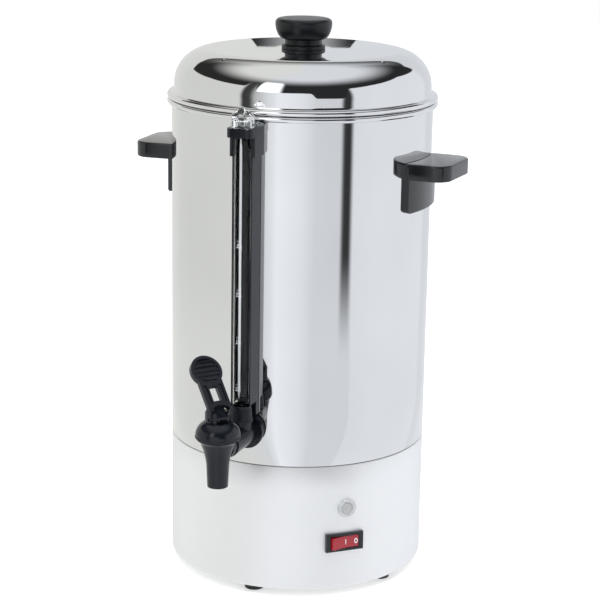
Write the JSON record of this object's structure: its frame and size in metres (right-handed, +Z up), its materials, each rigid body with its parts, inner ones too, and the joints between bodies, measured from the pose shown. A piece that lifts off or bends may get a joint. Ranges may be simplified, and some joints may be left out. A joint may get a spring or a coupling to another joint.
{
  "type": "coffee urn",
  "caption": "Cylindrical stainless steel percolating coffee urn with a domed lid, side handles, a lever tap, a sight-glass level gauge and a rocker switch.",
  "frame": {"origin": "on the urn's vertical axis at floor level, under the centre of the five feet", "axes": "+Z up along the urn's axis, -Y towards the tap, +X towards the switch's side and the right handle"},
  "size_m": [0.3126, 0.3319, 0.5161],
  "materials": {
    "polished_steel": "mirror polished stainless steel",
    "plain_steel": "plain",
    "brew_aluminium": "satin",
    "black_plastic": "semi-gloss",
    "white_plastic": "matt",
    "black_rubber": "matt",
    "gauge_tube": "clear",
    "clear_plastic": "clear",
    "red_plastic": "translucent",
    "brass_pins": "plain"
  },
  "bodies": {
    "urn": {"base_skirt": "polished_steel", "tank_shell": "polished_steel", "tank_bottom": "plain_steel", "base_plate": "plain_steel", "base_studs": "plain_steel", "base_nuts": "plain_steel", "foot_screws": "plain_steel", "foot_nuts": "plain_steel", "handle_screws": "plain_steel", "handle_washers": "plain_steel", "lever_pin": "plain_steel", "tap_spring": "plain_steel", "bracket_screw": "plain_steel", "element_clamp": "plain_steel", "clamp_stud": "plain_steel", "clamp_nut": "plain_steel", "inlet_screws": "plain_steel", "terminal_screws": "plain_steel", "warming_element": "plain_steel", "thermostat": "plain_steel", "pump_element": "brew_aluminium", "left_handle": "black_plastic", "right_handle": "black_plastic", "tap_body": "black_plastic", "tap_bonnet": "black_plastic", "gauge_tee": "black_plastic", "gauge_nut": "black_plastic", "gauge_guard": "black_plastic", "gauge_bracket": "black_plastic", "switch_housing": "black_plastic", "inlet_housing": "black_plastic", "shank_nut": "black_plastic", "lamp_body": "white_plastic", "lamp_nut": "white_plastic", "terminal_block": "white_plastic", "thermal_fuse": "white_plastic", "feet": "black_rubber", "shank_seal_outer": "black_rubber", "shank_seal_inner": "black_rubber", "gauge_seals": "black_rubber", "gauge_glass": "gauge_tube", "lamp_lens": "clear_plastic", "lamp_bezel": "clear_plastic", "inlet_pins": "brass_pins"},
    "lid": {"lid": "polished_steel", "lid_knob": "black_plastic", "knob_collar": "black_plastic", "knob_screw": "plain_steel"},
    "brew_stack": {"pump_tube": "brew_aluminium", "pump_bell": "brew_aluminium", "basket_seat": "brew_aluminium", "basket": "brew_aluminium"},
    "basket_lid": {"basket_lid": "brew_aluminium"},
    "tap_lever": {"tap_lever": "black_plastic"},
    "tap_stem": {"tap_stem": "white_plastic", "seat_cup": "black_rubber"},
    "switch_rocker": {"switch_rocker": "red_plastic"},
    "gauge_cap": {"gauge_cap": "clear_plastic"}
  },
  "joints": [
    {"name": "lid_lift", "type": "slide", "parent": "urn", "child": "lid", "axis": [0, 0, 1], "range_m": [0, 0.45]},
    {"name": "brew_lift", "type": "slide", "parent": "urn", "child": "brew_stack", "axis": [0, 0, 1], "range_m": [0, 0.36]},
    {"name": "basket_lid_lift", "type": "slide", "parent": "brew_stack", "child": "basket_lid", "axis": [0, 0, 1], "range_m": [0, 0.0225]},
    {"name": "lever_tilt", "type": "hinge", "parent": "urn", "child": "tap_lever", "pos_m": [0.00318, -0.19043, 0.19], "axis": [0.6074, 0.7944, 0], "range_deg": [0, 30], "stiffness_Nm_per_rad": 0.12, "springref_deg": -22.92},
    {"name": "stem_lift", "type": "slide", "parent": "urn", "child": "tap_stem", "axis": [0, 0, 1], "range_m": [0, 0.0016], "deforming": ["tap_spring"]},
    {"name": "rocker_tilt", "type": "hinge", "parent": "urn", "child": "switch_rocker", "pos_m": [0.08252, -0.08849, 0.0524], "axis": [0, 0, -1], "range_deg": [0, 16]},
    {"name": "cap_lift", "type": "slide", "parent": "urn", "child": "gauge_cap", "axis": [0, 0, 1], "range_m": [0, 0.03]}
  ],
  "couplings": [
    {"joint": "brew_lift", "follows": "lid_lift", "ratio": 0.8},
    {"joint": "basket_lid_lift", "follows": "lid_lift", "ratio": 0.05},
    {"joint": "stem_lift", "follows": "lever_tilt", "m_per_rad": 0.003}
  ]
}
